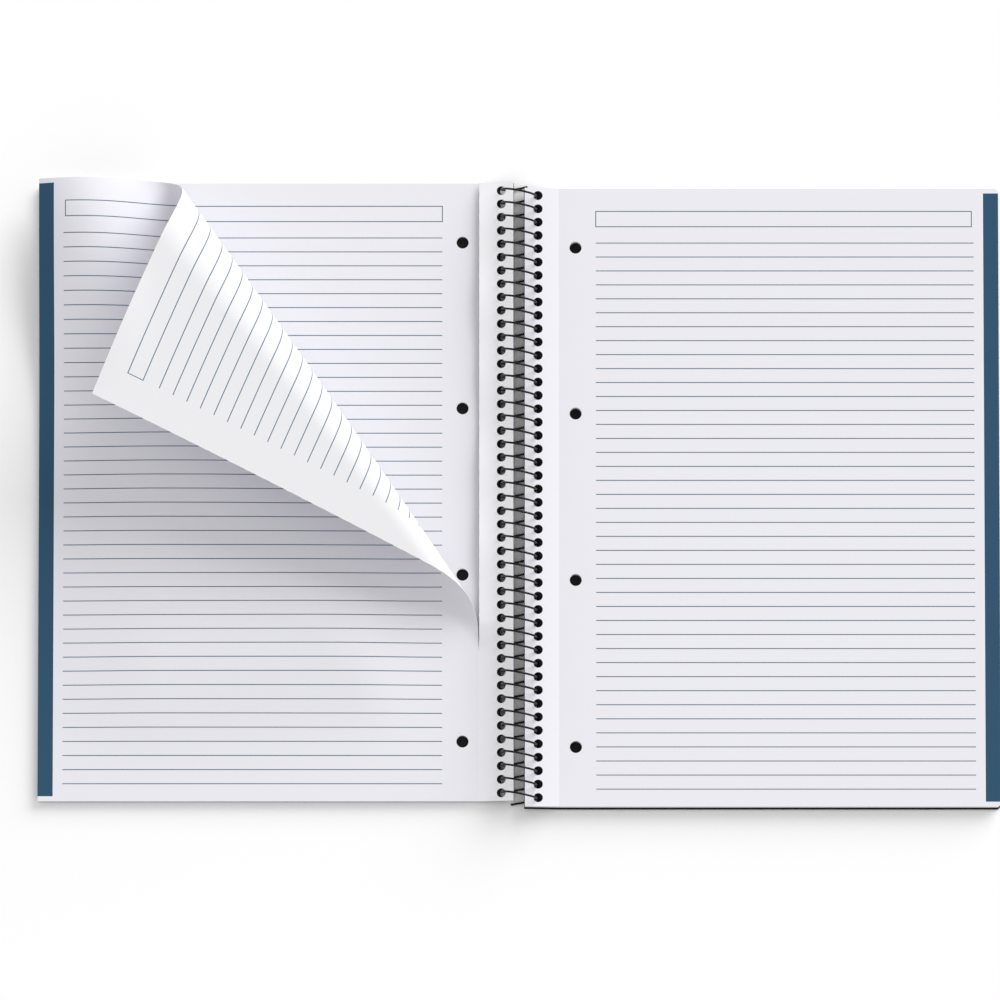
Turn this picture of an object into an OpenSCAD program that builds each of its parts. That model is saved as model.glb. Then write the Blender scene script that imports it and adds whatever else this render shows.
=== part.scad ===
/* [Sheets] */
// Height of every sheet and cover, head to tail
sheet_h = 297; // [280:1:310]
// Width of a leaf from its perforation to its outer edge
leaf_w = 210; // [190:1:220]
// Width of the strip between the spine edge and the perforation
strip_w = 16.5; // [15:0.5:20]
// Radius of the outer corners
corner_r = 2; // [0.5:0.5:8]
// Thickness of the single lifted leaf
leaf_t = 0.3; // [0.2:0.05:0.5]

/* [Stacks] */
// Thickness of the leaves turned to the left
left_stack_t = 3; // [1.5:0.1:3.6]
// Thickness of the leaves on the right
right_stack_t = 5.3; // [3:0.1:5.8]
// Thickness of each cover
cover_t = 0.7; // [0.4:0.1:1]
// Length by which both covers reach past their leaves at the spine edge
cover_lap = 0.3; // [0.1:0.1:0.5]
// Length by which the back cover reaches past its leaves at the tail
cover_tail = 0.9; // [0.4:0.1:2]
// Gap between the spine edges of the two halves
spine_gap = 5.4; // [4.6:0.1:6]
// Height that the left half gains over its strip, up to its spine edge
left_lift = 4.4; // [3.4:0.1:4.6]
// Height that the right half gains over its strip, up to its spine edge
right_lift = 3.2; // [3:0.1:3.6]

/* [Spiral] */
// Distance between two turns
pitch = 6.43; // [6.2:0.01:6.6]
// Number of holes in each sheet
hole_count = 46; // [20:1:46]
// Radius of a turn, to the middle of the wire
ring_r = 8.5; // [8.3:0.1:9]
// Thickness of the wire
wire_d = 1; // [0.8:0.1:1.2]
// Diameter of the round holes that the wire runs through
spiral_hole_d = 4.3; // [4:0.1:4.4]
// How far the sheets are drawn outward, so that the wire bears on the spine side of its holes
hole_ease = 0.5; // [0.3:0.05:0.6]
// How far each half lies along the wire, against the way in which closing moves it
sheet_play = 0.4; // [0.2:0.1:0.6]
// Part of a half turn that each wire end runs on below the sheets, in degrees
end_turn = 118; // [90:1:130]

/* [Filing holes] */
// Distance between two filing holes
filing_pitch = 80; // [78:1:82]
// Number of filing holes in each leaf
filing_count = 4; // [2:2:4]
// Diameter of a filing hole
filing_d = 5.8; // [5:0.1:6.5]
// Distance from the perforation to the middle of a filing hole
filing_inset = 7.8; // [6:0.1:12]

/* [Lifted leaf] */
// Height above the tail up to which the lifted leaf is still joined to its strip
joined_h = 73; // [50:1:120]
// Angle between the fold and the perforation, in degrees
fold_angle = 36.5; // [32:0.5:42]
// Distance behind the perforation at which the fold lines meet
fan_back = 160; // [100:10:400]
// Radius of the fold where it crosses the perforation
fold_r = 9; // [7:0.5:14]
// Angle through which the fold turns the leaf over, in degrees
fold_turn = 165; // [120:1:175]
// Height by which the free edge of the torn strip stands off the leaves below
stub_rise = 1.2; // [0.4:0.1:1.6]

/* [Hidden] */
$fn = 48;

// Widths, measured outward from the middle of the spine
inner_x = spine_gap / 2;
perf_x = inner_x + strip_w;
outer_x = perf_x + leaf_w;
filing_x = perf_x + filing_inset;
left_top = cover_t + left_stack_t;
right_top = cover_t + right_stack_t;
tall = right_top + right_lift + left_lift;

// A turn is an upper and a lower half ring, yawed one way and the other, that meet end to end
quarter = pitch / 4;
ring_x = sqrt(ring_r * ring_r - quarter * quarter);
yaw = atan(quarter / ring_x);
axis_z = ring_r + wire_d / 2;
// Joints between half rings: how far each end stops short, and the sleeve over both ends
sleeve_turn = 0.5;
sleeve_h = 0.6;
sleeve_proud = 0.04;

// The middle of the wire on a lower half ring, at the angle b below the level of its ends
function wire_point(side, b) = [
    side * ring_x * cos(b),
    (side * cos(b) - 2) * quarter,
    axis_z - ring_r * sin(b)
];

// The angle b at which the wire is z high
function wire_angle(z) = asin(max(-1, min(1, (axis_z - z) / ring_r)));

// Height gained by a half at the distance x from the middle of the spine
function gain(x, lift) = lift * max(0, min(1, (perf_x - x) / strip_w));

// The wire's line through a half: where it comes in below, where it leaves above
function hole_low(side, lift) =
    wire_point(side, wire_angle(gain(ring_x - 2, lift)));
function hole_high(side, lift, top) =
    wire_point(side, wire_angle(gain(ring_x, lift) + top));
function hole_mid(side, lift, top) =
    wire_point(side, (wire_angle(gain(ring_x - 2, lift)) + wire_angle(gain(ring_x, lift) + top)) / 2);

// Places of the turns and of the two halves along the spine. The cover's reach at the tail
// moves them all towards the head by half of it, so that the whole stays centred.
right_mid_y = hole_mid(1, right_lift, right_top).y;
left_mid_y = hole_mid(-1, left_lift, left_top).y + pitch;
row_half = (hole_count - 1) * pitch / 2;
half_off_y = (left_mid_y - right_mid_y) / 2 - sheet_play;
first_turn_y = row_half - (right_mid_y + left_mid_y) / 2 + cover_tail / 2;
left_y = cover_tail / 2 + half_off_y;
right_y = cover_tail / 2 - half_off_y;

// The plan of a sheet or cover with its two outer corners rounded. A cover is longer than
// its leaves by lap at the spine edge and by tail at the tail.
module sheet_plan(lap, tail) {
    low_y = -sheet_h / 2 - tail;
    translate([inner_x - lap, low_y])
        square([outer_x - corner_r - inner_x + lap, sheet_h + tail]);
    translate([outer_x - corner_r - 1, low_y + corner_r])
        square([corner_r + 1, sheet_h + tail - 2 * corner_r]);
    for (y = [low_y + corner_r, sheet_h / 2 - corner_r])
        translate([outer_x - corner_r, y])
            circle(corner_r);
}

// A layer of a half between two heights, flat outside the perforation and rising over the strip
module layer(low, high, lift, lap, tail) {
    intersection() {
        rotate([90, 0, 0])
            linear_extrude(height = sheet_h + 2 * tail + 2, center = true)
                polygon([
                    [inner_x - 1, low + lift + lift / strip_w],
                    [perf_x, low],
                    [outer_x + 1, low],
                    [outer_x + 1, high],
                    [perf_x, high],
                    [inner_x - 1, high + lift + lift / strip_w]
                ]);
        linear_extrude(height = tall)
            sheet_plan(lap, tail);
    }
}

// One round hole for the wire, on the line that the wire takes through a half
module spiral_hole(side, lift, top) {
    low = hole_low(side, lift);
    high = hole_high(side, lift, top);
    // The wire bows out of that line, so the hole is set half as far out
    centre = (low + high) / 4 + hole_mid(side, lift, top) / 2 + [side * hole_ease, 0, 0];
    run = high - low;
    translate(centre)
        rotate([0, acos(run.z / norm(run)), atan2(run.y, run.x)])
            cylinder(h = norm(run) + 6, d = spiral_hole_d, center = true);
}

// The row of holes for the wire, in the part's frame
module spiral_holes(side, lift, top) {
    first_y = first_turn_y + (side < 0 ? pitch : 0) + side * sheet_play;
    for (k = [0 : hole_count - 1])
        translate([0, first_y - k * pitch, 0])
            spiral_hole(side, lift, top);
}

// The filing holes of one half
module filing_holes(side, mid_y) {
    for (k = [0 : filing_count - 1])
        translate([side * filing_x, mid_y + (k - (filing_count - 1) / 2) * filing_pitch, -1])
            cylinder(h = tall, d = filing_d);
}

module left_half(low, high, lap = 0) {
    translate([0, left_y, 0])
        mirror([1, 0, 0])
            layer(low, high, left_lift, lap, 0);
}

module right_half(low, high, lap = 0, tail = 0) {
    translate([0, right_y, 0])
        layer(low, high, right_lift, lap, tail);
}

module front_cover() {
    color([0.09, 0.09, 0.10])
        difference() {
            left_half(0, cover_t, cover_lap);
            spiral_holes(-1, left_lift, left_top);
        }
}

module back_cover() {
    color([0.09, 0.09, 0.10])
        difference() {
            right_half(0, cover_t, cover_lap, cover_tail);
            spiral_holes(1, right_lift, right_top);
        }
}

module left_pages() {
    color([0.92, 0.92, 0.94])
        difference() {
            left_half(cover_t, left_top);
            spiral_holes(-1, left_lift, left_top);
            filing_holes(-1, left_y);
        }
}

module right_pages() {
    color([0.92, 0.92, 0.94])
        difference() {
            right_half(cover_t, right_top);
            spiral_holes(1, right_lift, right_top);
            filing_holes(1, right_y);
        }
}

// Half a ring in the XZ plane from +X over the top, or underneath with up = -1. It stops
// just short at both ends, inside the sleeves.
module half_ring(up, turn = 180) {
    rotate([90 * up, 0, 0])
        rotate([0, 0, sleeve_turn])
            rotate_extrude(angle = turn - 2 * sleeve_turn)
                translate([ring_r, 0])
                    circle(d = wire_d, $fn = 16);
}

// The upright sleeve that joins two half rings, flush with the wire but for a hair
module sleeve(side) {
    translate([side * ring_x, -side * quarter, -sleeve_h / 2])
        cylinder(h = sleeve_h, d = wire_d + sleeve_proud, $fn = 16);
}

// One full turn, from its left end over the sheets and back under them
module spiral_turn(k) {
    translate([0, first_turn_y - k * pitch, axis_z]) {
        rotate([0, 0, -yaw])
            half_ring(1);
        for (side = [-1, 1])
            sleeve(side);
        translate([0, -2 * quarter, 0])
            rotate([0, 0, yaw])
                half_ring(-1, k < hole_count - 1 ? 180 : end_turn);
    }
}

// The wire's first end, which runs up to the first left hole from below
module spiral_start() {
    translate([0, first_turn_y + 2 * quarter, axis_z])
        rotate([0, 0, yaw])
            rotate([0, 180 - end_turn, 0])
                half_ring(-1, end_turn);
}

module spiral_wire() {
    color([0.08, 0.08, 0.08]) {
        spiral_start();
        for (k = [0 : hole_count - 1])
            spiral_turn(k);
    }
}

// The lifted leaf, laid out flat: x runs from its outer edge to the perforation, y from the
// tail up. Its fold lines fan out from one point behind the perforation. Directions of the
// fold are given along its first line, square to that line in the leaf, and up.
fold_u = [-sin(fold_angle), cos(fold_angle)];
fold_n = [cos(fold_angle), sin(fold_angle)];
fan_foot = [leaf_w, joined_h] - fan_back * fold_u;
fold_steps = 36;
corner_off = [leaf_w, sheet_h] - fan_foot;
fan_span = 0.995 * atan2(corner_off * fold_n, corner_off * fold_u);
fan_step = fan_span / fold_steps;
// Turning of the leaf for each degree of the fan, in its tight stretch
fold_k = fan_back / fold_r;

// A frame [along the line, across it, off the leaf], one step further round the fold
function turned(f, k) =
    let (
        w = k * f[0] + f[2],
        axis = w / norm(w),
        a = fan_step * norm(w)
    )
    [for (v = f) v * cos(a) + cross(axis, v) * sin(a) + axis * (axis * v) * (1 - cos(a))];

// Frames of the fold lines, from the flat part of the leaf to its far corner
function fold_frames(f, done, n) =
    n < 0 ? [] :
    let (k = max(0, min(fold_k, (fold_turn - done) / fan_step)))
    concat([f], fold_frames(turned(f, k), done + k * fan_step, n - 1));

frames = fold_frames([[1, 0, 0], [0, 1, 0], [0, 0, 1]], 0, fold_steps);

// Distances from the fan's point to the perforation and to the head, along fold line i
function to_perf(i) = (fan_foot.x - leaf_w) / sin(fold_angle - i * fan_step);
function to_head(i) = (sheet_h - fan_foot.y) / cos(fold_angle - i * fan_step);

// A vector of the fold's directions, in the leaf's own
function fold_xyz(v) = [
    v.x * fold_u.x + v.y * fold_n.x,
    v.x * fold_u.y + v.y * fold_n.y,
    v.z
];

// A point on fold line i, at the distance d from the fan's point and off the leaf's underside
function fold_point(i, d, off) =
    [fan_foot.x, fan_foot.y, 0] + fold_xyz(d * frames[i][0] + off * frames[i][2]);

// The leaf's outline on one side, counter-clockwise from above
function leaf_outline(off) = concat(
    [[0, 0, off], [leaf_w, 0, off]],
    [for (i = [0 : fold_steps]) fold_point(i, to_perf(i), off)],
    [for (i = [fold_steps : -1 : 0]) fold_point(i, to_head(i), off)],
    [[0, sheet_h, off]]
);

outline_n = 2 * fold_steps + 5;
flat_face = [0, 1, 2, outline_n - 2, outline_n - 1];
fold_faces = [
    for (i = [0 : fold_steps - 1], half = [0, 1])
        let (near = 2 + i, far = outline_n - 2 - i)
        half == 0 ? [near, near + 1, far - 1] : [near, far - 1, far]
];
edge_faces = [
    for (i = [0 : outline_n - 1], half = [0, 1])
        let (j = (i + 1) % outline_n)
        half == 0
            ? [i, i + outline_n, j + outline_n]
            : [i, j + outline_n, j]
];

function reversed(face, step) = [for (i = [len(face) - 1 : -1 : 0]) face[i] + step];

module leaf_sheet() {
    under = concat([flat_face], fold_faces);
    over = [for (f = under) reversed(f, outline_n)];
    polyhedron(
        points = concat(leaf_outline(0), leaf_outline(leaf_t)),
        faces = concat(under, over, edge_faces)
    );
}

// A stretch of the strip that the wire holds, from one height to another above the tail,
// standing off the leaves below by rise at the perforation
module strip(from, to, rise) {
    translate([0, to - sheet_h / 2, 0])
        rotate([90, 0, 0])
            linear_extrude(height = to - from)
                polygon([
                    [-perf_x - 0.5, left_top + rise],
                    [-perf_x, left_top + rise],
                    [-inner_x, left_top + left_lift],
                    [-inner_x, left_top + left_lift + leaf_t],
                    [-perf_x, left_top + rise + leaf_t],
                    [-perf_x - 0.5, left_top + rise + leaf_t]
                ]);
}

module lifted_leaf() {
    color([0.94, 0.94, 0.94])
        difference() {
            translate([0, left_y, 0]) {
                translate([-outer_x, -sheet_h / 2, left_top])
                    leaf_sheet();
                strip(0, joined_h, 0);
                strip(joined_h, sheet_h, stub_rise);
            }
            spiral_holes(-1, left_lift, left_top);
            // Only the lowest filing hole shows, where the leaf still lies flat
            translate([-filing_x, left_y - (filing_count - 1) / 2 * filing_pitch, 0])
                cylinder(h = left_top + 1, d = filing_d);
        }
}

front_cover();
left_pages();
lifted_leaf();
spiral_wire();
right_pages();
back_cover();
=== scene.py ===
"""Looks of the open spiral notebook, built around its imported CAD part.

The covers, the two stacks of leaves and the wire keep their CAD forms and get
finishes here. The leaf that is torn along its perforation and folded over, and
the strip of it that stays on the wire, are modelled here as thin paper, with
the arched corner, the leaning fold and the frayed edge of the photograph.
"""

import logging
import math
from dataclasses import dataclass
from enum import Enum
from typing import Callable, Sequence, Union

import bpy
import numpy as np
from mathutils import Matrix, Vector


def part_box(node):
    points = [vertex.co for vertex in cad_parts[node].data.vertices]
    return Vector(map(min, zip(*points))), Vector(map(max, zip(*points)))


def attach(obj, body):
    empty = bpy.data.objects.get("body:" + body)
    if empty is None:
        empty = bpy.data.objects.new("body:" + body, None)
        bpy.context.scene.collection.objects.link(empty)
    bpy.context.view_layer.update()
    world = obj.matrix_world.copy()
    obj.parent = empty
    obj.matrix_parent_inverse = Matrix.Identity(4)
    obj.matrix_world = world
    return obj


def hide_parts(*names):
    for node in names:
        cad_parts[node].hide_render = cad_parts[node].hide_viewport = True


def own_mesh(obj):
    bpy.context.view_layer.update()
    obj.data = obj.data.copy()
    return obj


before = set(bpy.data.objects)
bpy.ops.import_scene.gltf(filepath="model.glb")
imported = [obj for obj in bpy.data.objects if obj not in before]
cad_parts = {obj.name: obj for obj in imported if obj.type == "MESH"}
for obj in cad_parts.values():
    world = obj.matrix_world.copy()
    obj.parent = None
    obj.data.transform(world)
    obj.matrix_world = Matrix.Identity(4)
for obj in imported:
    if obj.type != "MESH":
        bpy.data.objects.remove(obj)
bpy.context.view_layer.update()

LOG = logging.getLogger("notebook")
MM = 0.001

Colour = tuple[float, float, float]
Input = Union[float, Sequence[float], bpy.types.NodeSocket]

# Sizes that several pieces share, in millimetres
LEAF_W = 210.0
LEAF_H = 297.0
STRIP_W = 16.5
LEFT_LIFT = 4.4
RIGHT_LIFT = 3.2

# Colours of the paper: its printed side, the folded leaf's back, darkened as painted shade,
# and the torn strip, lightened as painted light; and the white of the floor and the sky
PAPER: Colour = (0.830, 0.822, 0.872)
PAPER_BACK_SHADED: Colour = (0.715, 0.715, 0.728)
TORN_PAPER_LIT: Colour = (0.930, 0.928, 0.955)
WHITE = (1.0, 1.0, 1.0, 1.0)

# Name of the torn leaf's UV map, and how near to the perforation a point counts as on it
SHEET_UV = "sheet"
AT_EDGE = 1e-6


class Side(Enum):
    """The two halves of the open notebook, by the sign of their X."""

    LEFT = -1
    RIGHT = 1


@dataclass(frozen=True)
class HalfSizes:
    """Sizes of one half of the notebook, in millimetres.

    Attributes:
        side: Which half this is.
        mid_y: Place of the middle of the half along the spine.
        top_z: Height of the uppermost leaf outside the perforation.
        lift: Height that the half gains over its strip, up to the spine edge.
        inner_x: Distance from the spine's middle to the spine edge.
        perforation_x: Distance from the spine's middle to the perforation.
        outer_x: Distance from the spine's middle to the outer edge.
        height: Length of the half from head to tail.
    """

    side: Side
    mid_y: float
    top_z: float
    lift: float
    inner_x: float
    perforation_x: float
    outer_x: float
    height: float

    @classmethod
    def from_node(cls, side: Side, node: str, strip_w: float, lift: float) -> "HalfSizes":
        """Reads a half's sizes from the box of its stack of leaves.

        Args:
            side: Which half the stack is on.
            node: Name of the stack's CAD node.
            strip_w: Width of the strip between the spine edge and the perforation.
            lift: Height gained over that strip.

        Returns:
            The sizes of the half, in millimetres.
        """
        low, high = (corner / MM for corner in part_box(node))
        inner, outer = sorted((abs(low.x), abs(high.x)))
        return cls(
            side=side,
            mid_y=(low.y + high.y) / 2,
            top_z=high.z - lift,
            lift=lift,
            inner_x=inner,
            perforation_x=inner + strip_w,
            outer_x=outer,
            height=high.y - low.y,
        )

    @property
    def head_y(self) -> float:
        """Place of the head of the leaves along the spine."""
        return self.mid_y + self.height / 2


@dataclass(frozen=True)
class Print:
    """What is printed on a leaf, in millimetres.

    Distances across start at the perforation, and distances down at the head.

    Attributes:
        first_line: Distance down to the first ruled line.
        last_line: Distance down to the last ruled line.
        line_count: Number of ruled lines.
        near: Distance across to the start of the lines.
        far: Distance across to the end of the lines.
        line_w: Width of a printed line.
        box_top: Distance down to the top of the header box.
        box_h: Height of the header box.
        box_far: Distance across to the end of the header box.
        band_w: Width of the band along the outer edge.
        band_inset: Distance that the band keeps from the head and the tail.
        band_over: Distance that the band runs past the outer edge.
        ink: Colour of the lines.
        band: Colour of the band.
    """

    first_line: float = 26.3
    last_line: float = 288.7
    line_count: int = 40
    near: float = 17.5
    far: float = 198.2
    line_w: float = 0.44
    box_top: float = 11.0
    box_h: float = 7.4
    box_far: float = 197.2
    band_w: float = 7.2
    band_inset: float = 2.3
    band_over: float = 1.0
    ink: Colour = (0.095, 0.150, 0.215)
    band: Colour = (0.024, 0.082, 0.148)

    @property
    def spacing(self) -> float:
        """Distance between two ruled lines."""
        return (self.last_line - self.first_line) / (self.line_count - 1)


class Wiring:
    """Places and joins the nodes of one node tree."""

    def __init__(self, tree: bpy.types.NodeTree) -> None:
        """Keeps the tree that the nodes go into."""
        self.tree = tree

    def node(
        self, kind: str, inputs: dict[str | int, Input] | None = None, **settings: object
    ) -> bpy.types.Node:
        """Adds a node.

        Args:
            kind: Blender's name for the node's type.
            inputs: Values or sockets for the node's inputs, by name or number.
            settings: Values for the node's own properties.

        Returns:
            The new node.
        """
        made = self.tree.nodes.new(kind)
        for name, value in settings.items():
            setattr(made, name, value)
        for name, value in (inputs or {}).items():
            self.feed(made.inputs[name], value)
        return made

    def feed(self, socket: bpy.types.NodeSocket, value: Input) -> None:
        """Joins a socket to an input, or sets a value on it.

        Args:
            socket: The input.
            value: The socket or the value for it.
        """
        if isinstance(value, bpy.types.NodeSocket):
            self.tree.links.new(value, socket)
        else:
            socket.default_value = value

    def maths(self, operation: str, *values: Input, clamp: bool = False) -> bpy.types.NodeSocket:
        """Adds a Math node and gives its output.

        Args:
            operation: Blender's name for the operation.
            values: The inputs, in order.
            clamp: Whether the result stays between 0 and 1.

        Returns:
            The node's output socket.
        """
        made = self.node(
            "ShaderNodeMath", dict(enumerate(values)), operation=operation, use_clamp=clamp
        )
        return made.outputs[0]

    def smooth(self, value: Input, low: Input, high: Input) -> bpy.types.NodeSocket:
        """Gives 0 below low, 1 above high and a smooth step between.

        Args:
            value: What is compared.
            low: Value up to which the result is 0.
            high: Value from which the result is 1.

        Returns:
            The result's socket.
        """
        made = self.node(
            "ShaderNodeMapRange",
            {"Value": value, "From Min": low, "From Max": high},
            interpolation_type="SMOOTHSTEP",
        )
        return made.outputs["Result"]

    def mix(self, share: Input, first: Input, second: Input) -> bpy.types.NodeSocket:
        """Mixes two colours by a share.

        Args:
            share: Share of the second colour.
            first: The first colour.
            second: The second colour.

        Returns:
            The mixed colour's socket.
        """
        made = self.node("ShaderNodeMix", data_type="RGBA")
        # Inputs 6 and 7 and output 2 are the node's colours
        for number, value in ((0, share), (6, first), (7, second)):
            self.feed(made.inputs[number], value)
        return made.outputs[2]

    def noise(self, vector: Input, scale: Input, detail: float = 3.0) -> bpy.types.NodeSocket:
        """Adds a noise texture.

        Args:
            vector: Place that the noise is read at.
            scale: How fine the noise is.
            detail: Number of its finer layers.

        Returns:
            The noise's socket.
        """
        made = self.node(
            "ShaderNodeTexNoise", {"Vector": vector, "Scale": scale, "Detail": detail}
        )
        return made.outputs[0]

    def group(self, tree: bpy.types.NodeTree, inputs: dict[str, Input]) -> bpy.types.Node:
        """Places a node group.

        Args:
            tree: The group.
            inputs: Values or sockets for its inputs, by name.

        Returns:
            The group's node.
        """
        made = self.tree.nodes.new("ShaderNodeGroup")
        made.node_tree = tree
        for name, value in inputs.items():
            self.feed(made.inputs[name], value)
        return made


class GroupKit:
    """The shader node groups that the finishes share, each built once."""

    def __init__(self) -> None:
        """Builds every group."""
        self.ruling = self._ruling()
        self.box = self._box()
        self.area = self._area()
        self.paper = self._paper()
        self.layers = self._layers()
        self.perforation = self._perforation()
        self.grain = self._grain()

    @staticmethod
    def _start(
        name: str, inputs: Sequence[tuple[str, str, float]], outputs: Sequence[tuple[str, str]]
    ) -> tuple[bpy.types.NodeTree, Wiring, bpy.types.Node, bpy.types.Node]:
        """Makes an empty group with its sockets.

        Args:
            name: Name of the group.
            inputs: Name, kind and default of each input.
            outputs: Name and kind of each output.

        Returns:
            The tree, its wiring, and the nodes of its inputs and outputs.
        """
        tree = bpy.data.node_groups.new(name, "ShaderNodeTree")
        kinds = {"value": "NodeSocketFloat", "vector": "NodeSocketVector"}
        for label, kind, default in inputs:
            socket = tree.interface.new_socket(label, in_out="INPUT", socket_type=kinds[kind])
            if kind == "value":
                socket.default_value = default
        for label, kind in outputs:
            tree.interface.new_socket(label, in_out="OUTPUT", socket_type=kinds[kind])
        wiring = Wiring(tree)
        return tree, wiring, wiring.node("NodeGroupInput"), wiring.node("NodeGroupOutput")

    def _ruling(self) -> bpy.types.NodeTree:
        """Evenly spaced lines across a leaf, between two distances down.

        Returns:
            The group.
        """
        tree, w, come, go = self._start(
            "ruled_lines",
            [
                ("Across", "value", 0.0),
                ("Down", "value", 0.0),
                ("First", "value", 0.0),
                ("Last", "value", LEAF_H),
                ("Spacing", "value", 1.0),
                ("Near", "value", 0.0),
                ("Far", "value", LEAF_W),
                ("Width", "value", 0.4),
            ],
            [("Mask", "value")],
        )
        past = w.maths("SUBTRACT", come.outputs["Down"], come.outputs["First"])
        step = w.maths("DIVIDE", past, come.outputs["Spacing"])
        nearest = w.maths("ABSOLUTE", w.maths("SUBTRACT", step, w.maths("ROUND", step)))
        off = w.maths("MULTIPLY", nearest, come.outputs["Spacing"])
        half = w.maths("MULTIPLY", come.outputs["Width"], 0.5)
        line = w.maths("LESS_THAN", off, half)
        start = w.maths("SUBTRACT", come.outputs["First"], half)
        above = w.maths("GREATER_THAN", come.outputs["Down"], start)
        end = w.maths("ADD", come.outputs["Last"], half)
        below = w.maths("LESS_THAN", come.outputs["Down"], end)
        near = w.maths("GREATER_THAN", come.outputs["Across"], come.outputs["Near"])
        far = w.maths("LESS_THAN", come.outputs["Across"], come.outputs["Far"])
        tall = w.maths("MULTIPLY", above, below)
        inside = w.maths("MULTIPLY", tall, w.maths("MULTIPLY", near, far))
        w.feed(go.inputs["Mask"], w.maths("MULTIPLY", line, inside))
        return tree

    def _area(self) -> bpy.types.NodeTree:
        """A filled rectangle on a leaf.

        Returns:
            The group.
        """
        tree, w, come, go = self._start(
            "printed_area",
            [
                ("Across", "value", 0.0),
                ("Down", "value", 0.0),
                ("Near", "value", 0.0),
                ("Far", "value", 1.0),
                ("Top", "value", 0.0),
                ("Bottom", "value", 1.0),
            ],
            [("Mask", "value")],
        )
        near = w.maths("GREATER_THAN", come.outputs["Across"], come.outputs["Near"])
        far = w.maths("LESS_THAN", come.outputs["Across"], come.outputs["Far"])
        top = w.maths("GREATER_THAN", come.outputs["Down"], come.outputs["Top"])
        bottom = w.maths("LESS_THAN", come.outputs["Down"], come.outputs["Bottom"])
        wide = w.maths("MULTIPLY", near, far)
        w.feed(go.inputs["Mask"], w.maths("MULTIPLY", wide, w.maths("MULTIPLY", top, bottom)))
        return tree

    def _box(self) -> bpy.types.NodeTree:
        """The outline of a rectangle on a leaf.

        Returns:
            The group.
        """
        tree, w, come, go = self._start(
            "printed_box",
            [
                ("Across", "value", 0.0),
                ("Down", "value", 0.0),
                ("Middle Across", "value", 0.0),
                ("Middle Down", "value", 0.0),
                ("Half Across", "value", 1.0),
                ("Half Down", "value", 1.0),
                ("Width", "value", 0.4),
            ],
            [("Mask", "value")],
        )
        beyond = []
        for axis in ("Across", "Down"):
            off = w.maths(
                "ABSOLUTE", w.maths("SUBTRACT", come.outputs[axis], come.outputs[f"Middle {axis}"])
            )
            beyond.append(w.maths("SUBTRACT", off, come.outputs[f"Half {axis}"]))
        outside = w.maths("MAXIMUM", *beyond)
        half = w.maths("MULTIPLY", come.outputs["Width"], 0.5)
        w.feed(go.inputs["Mask"], w.maths("LESS_THAN", w.maths("ABSOLUTE", outside), half))
        return tree

    def _paper(self) -> bpy.types.NodeTree:
        """Cloudy tone and fine fibre of writing paper.

        Returns:
            The group.
        """
        tree, w, come, go = self._start(
            "paper_fibre",
            [
                ("Vector", "vector", 0.0),
                ("Cloud", "value", 0.015),
                ("Cloud Scale", "value", 0.06),
                ("Cloud Height", "value", 0.6),
                ("Fibre Scale", "value", 2.4),
            ],
            [("Tone", "value"), ("Height", "value")],
        )
        cloud = w.noise(come.outputs["Vector"], come.outputs["Cloud Scale"], detail=4.0)
        fibre = w.noise(come.outputs["Vector"], come.outputs["Fibre Scale"], detail=5.0)
        tone = w.maths("MULTIPLY", w.maths("SUBTRACT", cloud, 0.5), come.outputs["Cloud"])
        w.feed(go.inputs["Tone"], w.maths("ADD", tone, 1.0))
        wavy = w.maths("MULTIPLY", cloud, come.outputs["Cloud Height"])
        w.feed(go.inputs["Height"], w.maths("ADD", fibre, wavy))
        return tree

    def _layers(self) -> bpy.types.NodeTree:
        """The edges of many leaves, seen on the side of a stack.

        Returns:
            The group.
        """
        tree, w, come, go = self._start(
            "leaf_edges",
            [
                ("Vector", "vector", 0.0),
                ("Across", "value", 0.0),
                ("Height", "value", 0.0),
                ("Lift", "value", RIGHT_LIFT),
                ("Strip", "value", STRIP_W),
                ("Leaf", "value", 0.11),
                ("Drift", "value", 0.35),
                ("Drift Scale", "value", 0.05),
                ("Gap From", "value", 0.30),
                ("Gap To", "value", 0.48),
                ("Least Gap", "value", 0.2),
            ],
            [("Gap", "value"), ("Height", "value")],
        )
        back = w.maths("MULTIPLY", come.outputs["Across"], -1.0)
        inward = w.maths("DIVIDE", back, come.outputs["Strip"], clamp=True)
        raised = w.maths("MULTIPLY", inward, come.outputs["Lift"])
        level = w.maths("SUBTRACT", come.outputs["Height"], raised)
        wander = w.noise(come.outputs["Vector"], come.outputs["Drift Scale"], detail=2.0)
        drift = w.maths("MULTIPLY", wander, come.outputs["Drift"])
        count = w.maths("DIVIDE", w.maths("ADD", level, drift), come.outputs["Leaf"])
        ragged = w.node("ShaderNodeTexNoise", {"Scale": 1.0, "Detail": 1.0}, noise_dimensions="1D")
        w.feed(ragged.inputs["W"], w.maths("FLOOR", count))
        nearest = w.maths("ABSOLUTE", w.maths("SUBTRACT", w.maths("FRACT", count), 0.5))
        gap = w.smooth(nearest, come.outputs["Gap From"], come.outputs["Gap To"])
        depth = w.maths("ADD", ragged.outputs[0], come.outputs["Least Gap"])
        # Gap is the share of painted shade in the gaps between the leaves' edges
        w.feed(go.inputs["Gap"], w.maths("MULTIPLY", gap, depth))
        w.feed(go.inputs["Height"], w.maths("SUBTRACT", ragged.outputs[0], gap))
        return tree

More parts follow.
